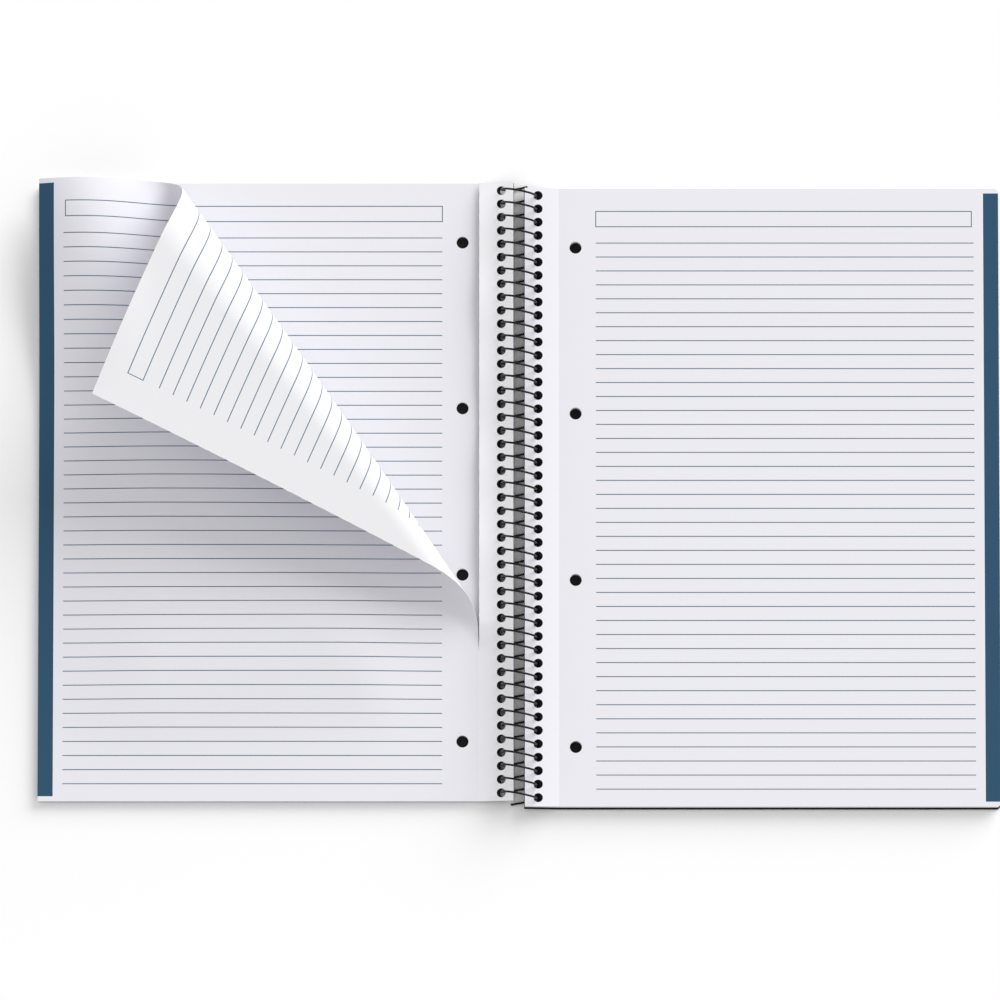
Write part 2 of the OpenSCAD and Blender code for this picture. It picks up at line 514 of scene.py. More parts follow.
    def _perforation(self) -> bpy.types.NodeTree:
        """A row of short cuts along the perforation.

        Returns:
            The group.
        """
        tree, w, come, go = self._start(
            "perforation",
            [
                ("Across", "value", 0.0),
                ("Down", "value", 0.0),
                ("Pitch", "value", 1.4),
                ("Cut", "value", 0.62),
                ("Width", "value", 0.12),
            ],
            [("Mask", "value")],
        )
        along = w.maths("FRACT", w.maths("DIVIDE", come.outputs["Down"], come.outputs["Pitch"]))
        cut = w.maths("LESS_THAN", along, come.outputs["Cut"])
        close = w.maths(
            "LESS_THAN",
            w.maths("ABSOLUTE", come.outputs["Across"]),
            w.maths("MULTIPLY", come.outputs["Width"], 0.5),
        )
        w.feed(go.inputs["Mask"], w.maths("MULTIPLY", cut, close))
        return tree

    def _grain(self) -> bpy.types.NodeTree:
        """Fine moulded grain with soft smears, for plastic and coated wire.

        Returns:
            The group.
        """
        tree, w, come, go = self._start(
            "surface_grain",
            [("Vector", "vector", 0.0), ("Scale", "value", 1.0), ("Smear Share", "value", 0.02)],
            [("Height", "value"), ("Smear", "value")],
        )
        cells = w.node(
            "ShaderNodeTexVoronoi",
            {"Vector": come.outputs["Vector"], "Scale": come.outputs["Scale"]},
            feature="SMOOTH_F1",
        )
        w.feed(go.inputs["Height"], cells.outputs["Distance"])
        coarse = w.maths("MULTIPLY", come.outputs["Scale"], come.outputs["Smear Share"])
        w.feed(go.inputs["Smear"], w.noise(come.outputs["Vector"], coarse, detail=4.0))
        return tree


def new_material(name: str) -> tuple[bpy.types.Material, Wiring, bpy.types.Node]:
    """Makes a material that holds a Principled shader only.

    Args:
        name: Name of the material.

    Returns:
        The material, its wiring and its shader node.
    """
    made = bpy.data.materials.new(name)
    made.use_nodes = True
    made.node_tree.nodes.clear()
    w = Wiring(made.node_tree)
    shader = w.node("ShaderNodeBsdfPrincipled")
    w.node("ShaderNodeOutputMaterial", {"Surface": shader.outputs[0]})
    return made, w, shader


@dataclass(frozen=True)
class Sheen:
    """How dull writing paper is, bare and where ink lies.

    Attributes:
        roughness: Roughness of the bare paper.
        ink_gloss: Roughness that ink takes away.
        specular: Strength of the shine.
    """

    roughness: float = 0.86
    ink_gloss: float = 0.12
    specular: float = 0.25

    def feed(
        self, w: Wiring, shader: bpy.types.Node, colour: Input, tone: Input, ink: Input
    ) -> None:
        """Feeds a leaf's colour and sheen to its shader.

        Args:
            w: Wiring of the material.
            shader: The Principled shader.
            colour: Colour of the printed paper.
            tone: Cloudy tone that it is multiplied by.
            ink: Mask of all ink.
        """
        toned = w.node("ShaderNodeVectorMath", {0: colour, 1: tone}, operation="MULTIPLY")
        w.feed(shader.inputs["Base Color"], toned.outputs[0])
        gloss = w.maths("MULTIPLY", ink, self.ink_gloss)
        w.feed(shader.inputs["Roughness"], w.maths("SUBTRACT", self.roughness, gloss))
        shader.inputs["Specular IOR Level"].default_value = self.specular


@dataclass(frozen=True)
class StackPaper:
    """Ruled paper of a whole stack of leaves, on object coordinates.

    Attributes:
        half: Sizes of the half that the stack belongs to.
        printing: What is printed on its leaves.
        kit: The shared node groups.
        paper: Colour of the bare paper.
        edge: Colour of painted shade in the gaps between the leaves' edges and in the cuts of the
            perforation.
        hole_shade: Near-black painted shade on the walls of the holes for the wire.
        hole_band: Stretch across, inside the perforation, that holds those walls.
        edge_margin: Distance that the stretch keeps from the head and the tail.
        fore_margin: Distance from the outer edge within which a wall is the fore edge.
        fore_ink: How much the printed bands colour the fore edge.
        cut_shade: How strongly painted shade in the edge grey darkens the cuts of the perforation.
        face_slope: Upward parts of the normal between which a wall turns into a face.
        fibre: Height of the paper's fibre against that of a leaf's edge.
        relief: Depth of the relief.
        strength: Strength of its bumps.
        sheen: How dull the paper is.
    """

    half: HalfSizes
    printing: Print
    kit: GroupKit
    paper: Colour = PAPER
    edge: Colour = (0.50, 0.50, 0.53)
    hole_shade: Colour = (0.035, 0.035, 0.042)
    hole_band: tuple[float, float] = (6.0, 15.0)
    edge_margin: float = 0.5
    fore_margin: float = 0.05
    fore_ink: float = 0.35
    cut_shade: float = 0.45
    face_slope: tuple[float, float] = (0.55, 0.75)
    fibre: float = 0.05
    relief: float = 0.05
    strength: float = 0.25
    sheen: Sheen = Sheen()

    def build(self) -> bpy.types.Material:
        """Makes the material.

        Returns:
            The finished material.
        """
        half, kit = self.half, self.kit
        made, w, shader = new_material(f"ruled_paper_{half.side.name.lower()}")
        place = w.node("ShaderNodeTexCoord")
        sheet = w.node(
            "ShaderNodeMapping",
            {
                "Vector": place.outputs["Object"],
                "Location": (-half.perforation_x, half.head_y, 0.0),
                "Scale": (half.side.value / MM, -1.0 / MM, 1.0 / MM),
            },
        ).outputs[0]
        across, down, height = w.node("ShaderNodeSeparateXYZ", {0: sheet}).outputs
        facing = w.node("ShaderNodeSeparateXYZ", {0: place.outputs["Normal"]}).outputs["Z"]
        face = w.smooth(facing, *self.face_slope)
        colour, ink = printed_colour(w, kit, self.printing, across, down, self.paper, band=True)
        tone = w.group(kit.paper, {"Vector": sheet})
        # Painted shade: the cuts of the perforation are mixed towards the edge grey
        cuts = w.group(kit.perforation, {"Across": across, "Down": down})
        cut = w.maths("MULTIPLY", cuts.outputs[0], self.cut_shade)
        colour = w.mix(cut, colour, (*self.edge, 1.0))
        # Painted shade: the gaps between the leaves' edges on the stack's sides turn to the edge
        # grey
        leaves = w.group(
            kit.layers, {"Vector": sheet, "Across": across, "Height": height, "Lift": half.lift}
        )
        side = w.mix(leaves.outputs["Gap"], (*self.paper, 1.0), (*self.edge, 1.0))
        fore_x = half.outer_x - half.perforation_x - self.fore_margin
        fore = w.maths("MULTIPLY", w.maths("GREATER_THAN", across, fore_x), self.fore_ink)
        side = w.mix(fore, side, (*self.printing.band, 1.0))
        # Painted shade: the walls of the holes for the wire turn near black
        walls = w.group(
            kit.area,
            {
                "Across": across,
                "Down": down,
                "Near": -self.hole_band[1],
                "Far": -self.hole_band[0],
                "Top": self.edge_margin,
                "Bottom": half.height - self.edge_margin,
            },
        )
        side = w.mix(walls.outputs[0], side, (*self.hole_shade, 1.0))
        self.sheen.feed(w, shader, w.mix(face, side, colour), tone.outputs["Tone"], ink)
        fibre = w.maths("MULTIPLY", tone.outputs["Height"], self.fibre)
        wall = w.maths("SUBTRACT", 1.0, face)
        height = w.maths("ADD", fibre, w.maths("MULTIPLY", wall, leaves.outputs["Height"]))
        bump = w.node(
            "ShaderNodeBump",
            {"Height": height, "Strength": self.strength, "Distance": self.relief * MM},
        )
        w.feed(shader.inputs["Normal"], bump.outputs[0])
        return made


def printed_colour(
    w: Wiring,
    kit: GroupKit,
    printing: Print,
    across: Input,
    down: Input,
    paper: Colour,
    band: bool,
) -> tuple[bpy.types.NodeSocket, bpy.types.NodeSocket]:
    """Lays the print of a leaf over bare paper.

    Args:
        w: Wiring of the material.
        kit: The shared node groups.
        printing: What is printed.
        across: Distance from the perforation, in millimetres.
        down: Distance from the head, in millimetres.
        paper: Colour of the bare paper.
        band: Whether the band along the outer edge is printed too.

    Returns:
        The colour, and the mask of all ink.
    """
    lines = w.group(
        kit.ruling,
        {
            "Across": across,
            "Down": down,
            "First": printing.first_line,
            "Last": printing.last_line,
            "Spacing": printing.spacing,
            "Near": printing.near,
            "Far": printing.far,
            "Width": printing.line_w,
        },
    )
    header = w.group(
        kit.box,
        {
            "Across": across,
            "Down": down,
            "Middle Across": (printing.near + printing.box_far) / 2,
            "Middle Down": printing.box_top + printing.box_h / 2,
            "Half Across": (printing.box_far - printing.near) / 2,
            "Half Down": printing.box_h / 2,
            "Width": printing.line_w,
        },
    )
    ink = w.maths("MAXIMUM", lines.outputs[0], header.outputs[0])
    colour = w.mix(ink, (*paper, 1.0), (*printing.ink, 1.0))
    if band:
        strip = w.group(
            kit.area,
            {
                "Across": across,
                "Down": down,
                "Near": LEAF_W - printing.band_w,
                "Far": LEAF_W + printing.band_over,
                "Top": printing.band_inset,
                "Bottom": LEAF_H - printing.band_inset,
            },
        )
        colour = w.mix(strip.outputs[0], colour, (*printing.band, 1.0))
        ink = w.maths("MAXIMUM", ink, strip.outputs[0])
    return colour, ink


@dataclass(frozen=True)
class LeafPaper:
    """Ruled paper of a single leaf, on its own UV map.

    Attributes:
        name: Name of the material.
        printing: What is printed on this side.
        kit: The shared node groups.
        paper: Colour of the bare paper.
        band: Whether this side carries the band.
        relief: Depth of the fibre.
        strength: Strength of its bumps.
        sheen: How dull the paper is.
    """

    name: str
    printing: Print
    kit: GroupKit
    paper: Colour
    band: bool
    relief: float = 0.02
    strength: float = 0.1
    sheen: Sheen = Sheen()

    def build(self) -> bpy.types.Material:
        """Makes the material.

        Returns:
            The finished material.
        """
        made, w, shader = new_material(self.name)
        flat = w.node("ShaderNodeUVMap", uv_map=SHEET_UV)
        sheet = w.node(
            "ShaderNodeMapping", {"Vector": flat.outputs[0], "Scale": (1 / MM, 1 / MM, 1.0)}
        ).outputs[0]
        across, down, _ = w.node("ShaderNodeSeparateXYZ", {0: sheet}).outputs
        colour, ink = printed_colour(
            w, self.kit, self.printing, across, down, self.paper, self.band
        )
        tone = w.group(self.kit.paper, {"Vector": sheet})
        self.sheen.feed(w, shader, colour, tone.outputs["Tone"], ink)
        bump = w.node(
            "ShaderNodeBump",
            {
                "Height": tone.outputs["Height"],
                "Strength": self.strength,
                "Distance": self.relief * MM,
            },
        )
        w.feed(shader.inputs["Normal"], bump.outputs[0])
        return made


@dataclass(frozen=True)
class GrainedBlack:
    """A black finish with fine grain and soft smears.

    Attributes:
        kit: The shared node groups.
        name: Name of the material.
        colour: Base colour.
        lighter: Factor by which a smear lightens it.
        grain: Grains to a metre.
        roughness: Roughness where nothing is smeared.
        smeared: Roughness that a smear adds.
        specular: Strength of the shine.
        strength: Strength of the grain's bumps.
        relief: Depth of the grain, in millimetres.
    """

    kit: GroupKit
    name: str
    colour: Colour
    lighter: float
    grain: float
    roughness: float
    smeared: float
    specular: float
    strength: float
    relief: float

    def build(self) -> bpy.types.Material:
        """Makes the material.

        Returns:
            The finished material.
        """
        made, w, shader = new_material(self.name)
        place = w.node("ShaderNodeTexCoord")
        grain = w.group(self.kit.grain, {"Vector": place.outputs["Object"], "Scale": self.grain})
        smear = grain.outputs["Smear"]
        light = tuple(self.lighter * part for part in self.colour)
        w.feed(shader.inputs["Base Color"], w.mix(smear, (*self.colour, 1.0), (*light, 1.0)))
        dulled = w.maths("MULTIPLY", smear, self.smeared)
        w.feed(shader.inputs["Roughness"], w.maths("ADD", dulled, self.roughness))
        shader.inputs["Specular IOR Level"].default_value = self.specular
        bump = w.node(
            "ShaderNodeBump",
            {
                "Height": grain.outputs["Height"],
                "Strength": self.strength,
                "Distance": self.relief * MM,
            },
        )
        w.feed(shader.inputs["Normal"], bump.outputs[0])
        return made


@dataclass(frozen=True)
class CoverPlastic(GrainedBlack):
    """Black polypropylene with a fine moulded grain."""

    name: str = "cover_plastic"
    colour: Colour = (0.007, 0.007, 0.008)
    lighter: float = 1.5
    grain: float = 1800.0
    roughness: float = 0.50
    smeared: float = 0.08
    specular: float = 0.16
    strength: float = 0.35
    relief: float = 0.05


@dataclass(frozen=True)
class WireCoat(GrainedBlack):
    """Black nylon coat on steel wire, smooth with faint draw marks."""

    name: str = "wire_coat"
    colour: Colour = (0.004, 0.004, 0.005)
    lighter: float = 2.0
    grain: float = 2600.0
    roughness: float = 0.24
    smeared: float = 0.15
    specular: float = 0.22
    strength: float = 0.15
    relief: float = 0.02


def dress(node: str, material: bpy.types.Material) -> None:
    """Gives a carried-over CAD node its finish.

    Args:
        node: Name of the node.
        material: The finish, which takes every slot.
    """
    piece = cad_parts[node]
    if not piece.material_slots:
        piece.data.materials.append(material)
    for slot in piece.material_slots:
        slot.material = material
    LOG.info("dressed %s with %s", node, material.name)


def clear_selection() -> None:
    """Leaves edit mode and deselects everything."""
    if bpy.context.object and bpy.context.object.mode != "OBJECT":
        bpy.ops.object.mode_set(mode="OBJECT")
    bpy.ops.object.select_all(action="DESELECT")


def apply_modifier(piece: bpy.types.Object, kind: str, **settings: object) -> None:
    """Adds a modifier to a piece and applies it.

    Args:
        piece: The piece, which becomes the active object.
        kind: Blender's name for the modifier's type.
        settings: Values for the modifier's properties.
    """
    clear_selection()
    piece.select_set(True)
    bpy.context.view_layer.objects.active = piece
    made = piece.modifiers.new(kind.lower(), kind)
    for name, value in settings.items():
        setattr(made, name, value)
    bpy.ops.object.modifier_apply(modifier=made.name)


@dataclass(frozen=True)
class Fold:
    """The fold that turns the torn leaf over, in millimetres and degrees.

    The leaf lies in a plane of its own, with x from its outer edge to the
    perforation and y from the tail to the head. Its fold lines fan out from
    one point behind the perforation, and the paper keeps its lengths.

    Attributes:
        joined_h: Height above the tail where the first fold line starts.
        angle: Angle between that line and the perforation.
        fan_back: Distance from the perforation back to the fan's point.
        radius: Radius of the fold where it crosses the perforation.
        turn: Angle through which the leaf is turned over.
        leaf_w: Width of the leaf.
        leaf_h: Height of the leaf.
        steps: Number of steps of the fan.
        reach: Share of the way to the leaf's head corner that the fan spans.
    """

    joined_h: float = 73.0
    angle: float = 36.5
    fan_back: float = 160.0
    radius: float = 9.0
    turn: float = 165.0
    leaf_w: float = LEAF_W
    leaf_h: float = LEAF_H
    steps: int = 400
    reach: float = 1.02

    def place(self, flat: np.ndarray) -> np.ndarray:
        """Bends points of the flat leaf round the fold.

        Args:
            flat: Points in the flat leaf, two numbers each.

        Returns:
            The same points in space, with z up from the flat part.
        """
        a = math.radians(self.angle)
        u = np.array([-math.sin(a), math.cos(a)])
        n = np.array([math.cos(a), math.sin(a)])
        foot = np.array([self.leaf_w, self.joined_h]) - self.fan_back * u
        corner = np.array([self.leaf_w, self.leaf_h]) - foot
        span = self.reach * math.atan2(corner @ n, corner @ u)
        fans = np.linspace(0.0, span, self.steps + 1)
        lines = self._lines(fans)
        off = flat - foot
        reach = np.hypot(off[:, 0], off[:, 1])
        fan = np.arctan2(off @ n, off @ u)
        bent = np.column_stack([np.interp(fan, fans, lines[:, k]) for k in range(3)])
        bent /= np.linalg.norm(bent, axis=1)[:, None]
        bent *= reach[:, None]
        plan = foot + np.outer(bent[:, 0], u) + np.outer(bent[:, 1], n)
        space = np.column_stack([plan, bent[:, 2]])
        level = fan <= 0.0
        space[level] = np.column_stack([flat[level], np.zeros(level.sum())])
        return space

    def short_of(self, flat: np.ndarray) -> np.ndarray:
        """Distances from points of the flat leaf to the first fold line, before it.

        Args:
            flat: Points in the flat leaf, two numbers each.

        Returns:
            The distances, below 0 past the line.
        """
        a = math.radians(self.angle)
        near = np.array([self.leaf_w, self.joined_h])
        return (near - flat) @ np.array([math.cos(a), math.sin(a)])

    def _lines(self, fans: np.ndarray) -> np.ndarray:
        """Directions in space of the fold lines at the given angles of the fan.

        Args:
            fans: Evenly spaced angles of the fan, from 0.

        Returns:
            A direction for each angle, in the first line's frame.
        """
        step = fans[1] - fans[0]
        tight = self.fan_back / self.radius
        line, side, up = np.eye(3)
        done, found = 0.0, [line]
        for _ in fans[1:]:
            k = max(0.0, min(tight, (math.radians(self.turn) - done) / step))
            axis = k * line + up
            size = np.linalg.norm(axis)
            axis, a = axis / size, step * size
            line, side, up = (
                v * math.cos(a)
                + np.cross(axis, v) * math.sin(a)
                + axis * (axis @ v) * (1 - math.cos(a))
                for v in (line, side, up)
            )
            done += k * step
            found.append(line)
        return np.array(found)


def eased(share: np.ndarray) -> np.ndarray:
    """Turns even shares into a smooth step.

    Args:
        share: Shares, cut off below 0 and above 1.

    Returns:
        The eased shares, level at 0 and at 1.
    """
    share = np.clip(share, 0.0, 1.0)
    return share * share * (3.0 - 2.0 * share)


@dataclass(frozen=True)
class TornEdge:
    """Small teeth that tearing leaves along the perforation, in millimetres.

    Attributes:
        least: Depth that is lost everywhere.
        tooth: Depth of a tooth.
        tooth_rate: How fast the teeth follow each other, in radians a millimetre.
        fibre: Half the depth of the finer fibres.
        fibre_rate: How fast the fibres follow each other, in radians a millimetre.
        start: Distance over which the teeth grow from the joined part.
        lag: Distance by which the strip's teeth lie off the leaf's.
    """

    least: float = 0.03
    tooth: float = 0.14
    tooth_rate: float = 2.24
    fibre: float = 0.05
    fibre_rate: float = 5.1
    start: float = 3.0
    lag: float = 0.7

    def depth(self, tall: np.ndarray, joined_h: float) -> np.ndarray:
        """Gives the paper lost at heights above the tail.

        Args:
            tall: The heights.
            joined_h: Height up to which the leaf is still joined.

        Returns:
            The depths, none below the joined height.
        """
        teeth = self.tooth * np.abs(np.sin(tall * self.tooth_rate))
        fibres = self.fibre * (1.0 + np.sin(tall * self.fibre_rate))
        grown = np.clip((tall - joined_h) / self.start, 0.0, 1.0)
        return (self.least + teeth + fibres) * grown


@dataclass
class CurledLeaf:
    """The torn leaf that is folded over, and its strip on the wire.

    Attributes:
        half: Sizes of the left half.
        fold: The fold of the leaf.
        tear: The teeth of its torn edge.
        paper_t: Thickness of the paper.
        clear: Gap between the leaf and the leaves below.
        cell: Size of the mesh cells.
        hole_d: Diameter of the holes for the wire.
        hole_pitch: Distance between two of those holes.
        hole_count: Number of them.
        hole_x: Distance from the spine's middle to them.
        hole_back: How far the row lies back from the middle of the sheet.
        filing_d: Diameter of a filing hole.
        filing_inset: Distance from the perforation to the filing holes.
        filing_down: Distance from the middle of the leaf to the lowest one.
        cutter_h: Height of the cutters for the holes.
        cutter_sides: Number of their sides.
        smooth_angle: Angle in degrees up to which faces are shaded as one.
        rise: Height of the torn strip's free edge over the leaves.
        rise_run: Distance over which it reaches that height.
        rise_waves: Share, length and start of each wave in that height.
        swell: Height by which the leaf bulges in the middle of its flat part.
        swell_run: Distance over which the bulge starts, from the sides and the fold.
        swell_tail: The same from the tail.
        ripple: Share, length and slant of the ripples on the bulge.
        billow: Height that sets how far the head's outer corner arches up.
        billow_w: Width of that arch, from the outer edge.
        billow_h: Distance below the head over which it dies out.
        billow_form: Share of the height at the outer edge, and how fast it grows inward.
        lean: How far the fold leans outward at the head, for each millimetre of height.
        lean_fade: Power by which the lean dies out towards the joined part.
    """

    half: HalfSizes
    fold: Fold = Fold()
    tear: TornEdge = TornEdge()
    paper_t: float = 0.15
    clear: float = 0.02
    cell: float = 1.75
    hole_d: float = 4.3
    hole_pitch: float = 6.43
    hole_count: int = 46
    hole_x: float = 8.5
    hole_back: float = 0.13
    filing_d: float = 5.8
    filing_inset: float = 7.8
    filing_down: float = 120.0
    cutter_h: float = 16.0
    cutter_sides: int = 48
    smooth_angle: float = 40.0
    rise: float = 3.2
    rise_run: float = 12.0
    rise_waves: tuple[tuple[float, float, float], ...] = ((0.22, 17.0, 0.0), (0.12, 6.3, 1.0))
    swell: float = 3.5
    swell_run: float = 60.0
    swell_tail: float = 80.0
    ripple: tuple[float, float, float] = (0.35, 19.0, 0.3)
    billow: float = 24.0
    billow_w: float = 72.0
    billow_h: float = 110.0
    billow_form: tuple[float, float] = (0.65, 1.6)
    lean: float = 0.46
    lean_fade: float = 1.2

    def build(
        self, face: bpy.types.Material, back: bpy.types.Material, torn: bpy.types.Material
    ) -> tuple[bpy.types.Object, bpy.types.Object]:
        """Models the leaf and the strip of it that stays on the wire.

        Args:
            face: Finish of the printed face.
            back: Finish of the other side, on paper darkened as painted shade.
            torn: Finish of the strip's upper side, on paper lightened as painted light.

        Returns:
            The leaf and the strip.
        """
        leaf = self._sheet("folded_leaf", 0.0, self.fold.leaf_w, self._bend)
        strip = self._sheet("wire_strip", -self._strip_w, 0.0, self._strip)
        for piece, upper, punch in (
            (leaf, face, self._filing_punch()),
            (strip, torn, self._wire_punch()),
        ):
            piece.data.materials.append(upper)
            piece.data.materials.append(back)
            apply_modifier(
                piece,
                "SOLIDIFY",
                thickness=self.paper_t * MM,
                offset=-1.0,
                material_offset=1,
                material_offset_rim=0,
                use_even_offset=False,
            )
            apply_modifier(piece, "BOOLEAN", object=punch, operation="DIFFERENCE", solver="EXACT")
            bpy.data.objects.remove(punch)
            clear_selection()
            piece.select_set(True)
            bpy.context.view_layer.objects.active = piece
            bpy.ops.object.shade_smooth_by_angle(angle=math.radians(self.smooth_angle))
            LOG.info("built %s with %d faces", piece.name, len(piece.data.polygons))
        return leaf, strip

    @property
    def _strip_w(self) -> float:
        """Width of the strip between the perforation and the spine edge."""
        return self.half.perforation_x - self.half.inner_x

    @property
    def _flat_z(self) -> float:
        """Height of the leaf's upper side where it lies flat."""
        return self.half.top_z + self.clear + self.paper_t

    def _sheet(
        self,
        name: str,
        near: float,
        far: float,
        form: Callable[[np.ndarray, np.ndarray], np.ndarray],
    ) -> bpy.types.Object:
        """Makes a grid over part of the sheet, from tail to head, and forms it.

        Args:
            name: Name of the piece.
            near: Distance across from the perforation where it starts.
            far: Distance across where it ends.
            form: Function from distances across and heights to places.

        Returns:
            The formed sheet, with its UV map in metres from the perforation and the head.
        """
        clear_selection()
        bpy.ops.mesh.primitive_grid_add(
            x_subdivisions=max(2, round((far - near) / self.cell)),
            y_subdivisions=round(self.fold.leaf_h / self.cell),
            size=1.0,
        )
        piece = bpy.context.object
        piece.name = piece.data.name = name
        mesh = piece.data
        co = np.empty(len(mesh.vertices) * 3)
        mesh.vertices.foreach_get("co", co)
        unit = co.reshape(-1, 3)[:, :2] + 0.5
        across = near + unit[:, 0] * (far - near)
        tall = unit[:, 1] * self.fold.leaf_h
        places = form(across, tall)
        mesh.vertices.foreach_set("co", (places * MM).astype(np.float32).ravel())
        while mesh.uv_layers:
            mesh.uv_layers.remove(mesh.uv_layers[0])
        layer = mesh.uv_layers.new(name=SHEET_UV)
        corner = np.empty(len(mesh.loops), np.int32)
        mesh.loops.foreach_get("vertex_index", corner)
        flat = np.column_stack([across, self.fold.leaf_h - tall])[corner] * MM
        layer.data.foreach_set("uv", flat.astype(np.float32).ravel())
        mesh.flip_normals()
        mesh.update()
        return piece

    def _frame(self, across: np.ndarray, tall: np.ndarray, z: np.ndarray) -> np.ndarray:
        """Puts distances on the sheet and heights into the part's frame, in millimetres.

        Args:
            across: Distances from the perforation.
            tall: Heights above the tail.
            z: Heights above the table.

        Returns:
            The places, three numbers each.
        """
        x = -(self.half.perforation_x + across)
        y = self.half.mid_y - self.fold.leaf_h / 2 + tall
        return np.column_stack([x, y, z])

    def _bend(self, across: np.ndarray, tall: np.ndarray) -> np.ndarray:
        """Places points of the leaf outside the perforation.

        Args:
            across: Distances from the perforation.
            tall: Heights above the tail.

        Returns:
            The places, three numbers each.
        """
        torn = across + self._torn(across, tall)
        flat = np.column_stack([self.fold.leaf_w - torn, tall])
        bent = self.fold.place(flat)
        z = self._flat_z + bent[:, 2] + self._swell(flat) + self._billow(bent)
        return self._frame(self.fold.leaf_w - bent[:, 0] + self._lean(bent), bent[:, 1], z)

    def _swell(self, flat: np.ndarray) -> np.ndarray:
        """Height by which the leaf bulges off the leaves below, short of its fold.

        Args:
            flat: Points in the flat leaf, two numbers each.

        Returns:
            The heights.
        """
        x, tall = flat.T
        gaps = np.column_stack([x, self.fold.leaf_w - x, self.fold.short_of(flat)])
        window = np.prod(eased(gaps / self.swell_run), axis=1) * eased(tall / self.swell_tail)
        share, length, slant = self.ripple
        return self.swell * window * (1.0 + share * np.sin((tall - slant * x) / length))

    def _billow(self, bent: np.ndarray) -> np.ndarray:
        """Height of the arch at the head's outer corner, for the leaf and what lies over it.

        Args:
            bent: Points of the folded leaf, three numbers each.

        Returns:
            The heights.
        """
        inward = np.clip(bent[:, 0] / self.billow_w, 0.0, 1.0)
        down = (self.fold.leaf_h - bent[:, 1]) / self.billow_h
        outer, growth = self.billow_form
        arch = (outer + growth * inward) * eased(1.0 - inward)
        return self.billow * arch * eased(1.0 - down)

    def _lean(self, bent: np.ndarray) -> np.ndarray:
        """Distance by which the fold leans outward, none where it is joined or lies flat.

        Args:
            bent: Points of the folded leaf, three numbers each.

        Returns:
            The distances.
        """
        torn_h = self.fold.leaf_h - self.fold.joined_h
        down = np.clip((self.fold.leaf_h - bent[:, 1]) / torn_h, 0.0, 1.0)
        return self.lean * (1.0 - down) ** self.lean_fade * bent[:, 2]

    def _strip(self, across: np.ndarray, tall: np.ndarray) -> np.ndarray:
        """Places points of the strip, whose torn edge stands off the leaves.

        Args:
            across: Distances from the perforation.
            tall: Heights above the tail.

        Returns:
            The places, three numbers each.
        """
        inward = np.clip(-across / self._strip_w, 0.0, 1.0)
        ramp = np.clip((tall - self.fold.joined_h) / self.rise_run, 0.0, 1.0)
        waves = sum(share * np.sin(tall / long + start) for share, long, start in self.rise_waves)
        rise = self.rise * ramp * (1.0 + waves)
        z = self._flat_z + rise * (1.0 - inward) + self.half.lift * inward
        return self._frame(across - self._torn(across, tall + self.tear.lag), tall, z)

    def _torn(self, across: np.ndarray, tall: np.ndarray) -> np.ndarray:
        """Paper lost at the torn edge, and none at other points."""
        at_edge = np.abs(across) < AT_EDGE
        return at_edge * self.tear.depth(tall, self.fold.joined_h)

    def _cutter(self, x: float, y: float, radius: float) -> bpy.types.Object:
        """Makes an upright round cutter through the sheet.

        Args:
            x: Distance from the spine's middle, towards the left.
            y: Place along the spine.
            radius: Radius of the hole.

        Returns:
            The cutter, with its place in its mesh.
        """
        clear_selection()
        bpy.ops.mesh.primitive_cylinder_add(
            vertices=self.cutter_sides,
            radius=radius * MM,
            depth=self.cutter_h * MM,
            location=(-x * MM, y * MM, self.half.top_z * MM),
        )
        bpy.ops.object.transform_apply(location=True, rotation=True, scale=True)
        return bpy.context.object

    def _filing_punch(self) -> bpy.types.Object:
        """Cutter for the lowest filing hole, where the leaf still lies flat.

        Returns:
            The cutter.
        """
        return self._cutter(
            self.half.perforation_x + self.filing_inset,
            self.half.mid_y - self.filing_down,
            self.filing_d / 2,
        )

    def _wire_punch(self) -> bpy.types.Object:
        """Cutters for the row of holes for the wire.

        Returns:
            The cutters, as one object.
        """
        first_y = self.half.mid_y + (self.hole_count - 1) / 2 * self.hole_pitch - self.hole_back
        punch = self._cutter(self.hole_x, first_y, self.hole_d / 2)
        apply_modifier(
            punch,
            "ARRAY",
            count=self.hole_count,
            use_relative_offset=False,
            use_constant_offset=True,
            constant_offset_displace=Vector((0.0, -self.hole_pitch * MM, 0.0)),
        )
        return punch


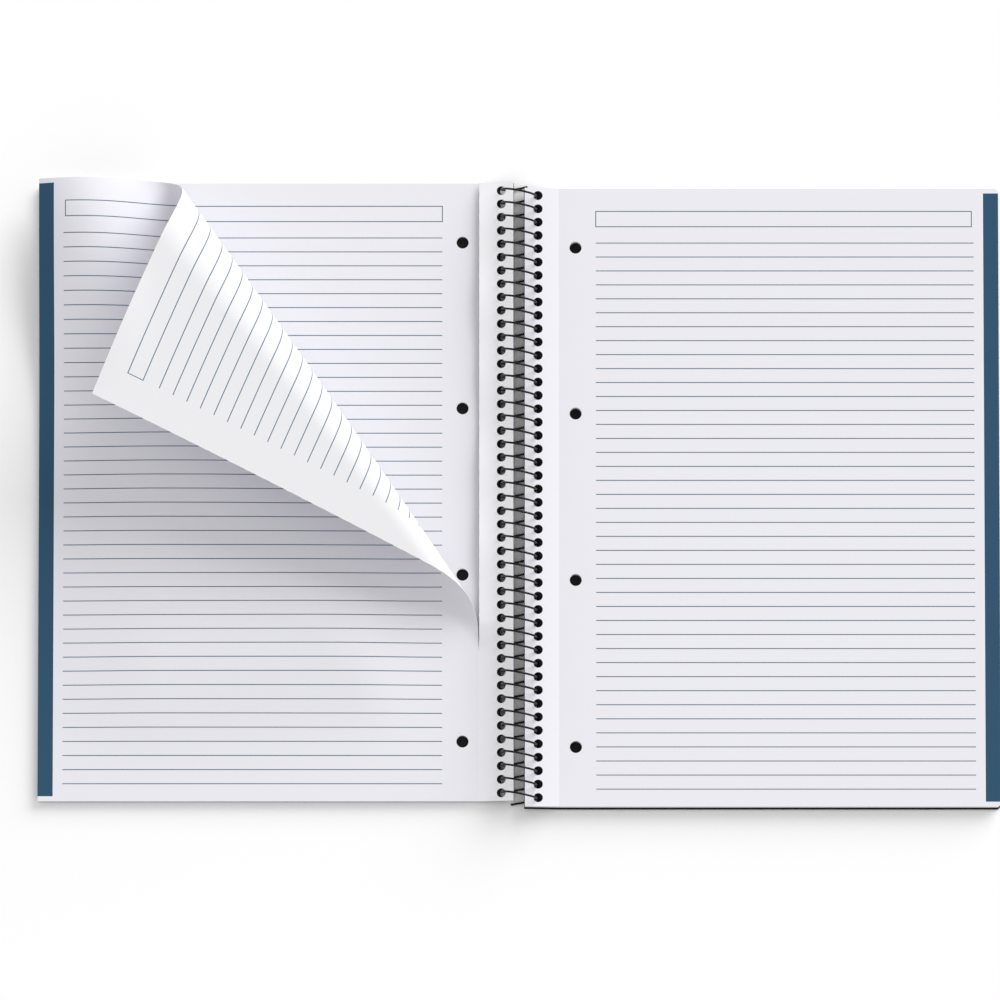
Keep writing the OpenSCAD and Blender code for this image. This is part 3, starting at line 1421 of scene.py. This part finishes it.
@dataclass
class Studio:
    """White floor, soft light from the upper right, and the camera.

    Attributes:
        distance: Distance from the camera to its aim, in metres.
        aim: Point that the camera looks at, in metres.
        elevation: Height of the camera above the horizon, in degrees.
        scale: Pixels of the picture to a millimetre at the aim.
        sky: Strength of the even surrounding light.
        sun: Strength of the light from the upper right.
        sun_width: Angle that this light seems wide, in degrees.
        sun_from: Direction that it comes from.
        floor_w: Width of the floor, in metres.
        floor_z: Height of the floor, just under the covers.
        sensor_w: Width of the camera's sensor, in millimetres.
        picture_px: Width of the picture in pixels.
        clip: Nearest and farthest distance that the camera sees, in metres.
    """

    distance: float = 5.8
    aim: tuple[float, float, float] = (-0.00911, -0.00183, 0.0)
    elevation: float = 83.0
    scale: float = 2.0938
    sky: float = 0.67
    sun: float = 2.7
    sun_width: float = 50.0
    sun_from: tuple[float, float, float] = (0.61, 0.71, 0.40)
    floor_w: float = 12.0
    floor_z: float = -0.00005
    sensor_w: float = 36.0
    picture_px: int = 1000
    clip: tuple[float, float] = (0.1, 60.0)

    def floor(self) -> None:
        """Makes the floor, which shows white to the camera and keeps the shadow."""
        clear_selection()
        bpy.ops.mesh.primitive_plane_add(size=self.floor_w, location=(0.0, 0.0, self.floor_z))
        plane = bpy.context.object
        plane.name = "floor"
        made = bpy.data.materials.new("floor_white")
        made.use_nodes = True
        made.node_tree.nodes.clear()
        w = Wiring(made.node_tree)
        plain = w.node("ShaderNodeBsdfDiffuse", {"Color": WHITE})
        w.node("ShaderNodeOutputMaterial", {"Surface": plain.outputs[0]})
        plane.data.materials.append(made)

    def light(self) -> None:
        """Makes the even surrounding light and the soft sun from the upper right."""
        world = bpy.data.worlds.new("studio")
        bpy.context.scene.world = world
        world.use_nodes = True
        sky = world.node_tree.nodes["Background"]
        sky.inputs["Color"].default_value = WHITE
        sky.inputs["Strength"].default_value = self.sky
        bpy.ops.object.light_add(type="SUN", location=self.sun_from)
        sun = bpy.context.object
        sun.name = "sun"
        sun.data.energy = self.sun
        sun.data.angle = math.radians(self.sun_width)
        sun.rotation_mode = "QUATERNION"
        sun.rotation_quaternion = Vector(self.sun_from).to_track_quat("Z", "Y")

    def camera(self) -> None:
        """Makes the camera at the photograph's viewing angle."""
        e = math.radians(self.elevation)
        back = Vector((0.0, -math.cos(e), math.sin(e)))
        bpy.ops.object.camera_add(location=Vector(self.aim) + back * self.distance)
        made = bpy.context.object
        made.rotation_mode = "QUATERNION"
        made.rotation_quaternion = back.to_track_quat("Z", "Y")
        seen_w = self.picture_px / self.scale * MM
        made.data.sensor_width = self.sensor_w
        made.data.lens = self.sensor_w * self.distance / seen_w
        made.data.clip_start, made.data.clip_end = self.clip
        bpy.context.scene.camera = made


def main() -> None:
    """Builds and dresses every piece in order."""
    logging.basicConfig(level=logging.INFO, format="%(name)s: %(message)s")
    bpy.context.scene.view_settings.view_transform = "Standard"
    clear_selection()
    kit = GroupKit()
    left = HalfSizes.from_node(Side.LEFT, "left_pages", STRIP_W, LEFT_LIFT)
    right = HalfSizes.from_node(Side.RIGHT, "right_pages", STRIP_W, RIGHT_LIFT)
    printing = Print()
    dress("left_pages", StackPaper(left, printing, kit).build())
    dress("right_pages", StackPaper(right, printing, kit).build())
    cover = CoverPlastic(kit).build()
    for node in ("front_cover", "back_cover"):
        dress(node, cover)
    dress("spiral_wire", WireCoat(kit).build())
    leaf, strip = CurledLeaf(left).build(
        LeafPaper("leaf_face", printing, kit, PAPER, band=True).build(),
        # The back's paper is darkened, as painted shade
        LeafPaper("leaf_back_shaded", printing, kit, PAPER_BACK_SHADED, band=False).build(),
        # The strip's paper is lightened, as painted light
        LeafPaper("leaf_strip_lit", printing, kit, TORN_PAPER_LIT, band=False).build(),
    )
    for piece in (leaf, strip):
        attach(piece, "left_half")
        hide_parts("lifted_leaf")
    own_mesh(leaf)
    studio = Studio()
    studio.floor()
    studio.light()
    studio.camera()


if __name__ == "__main__":
    main()
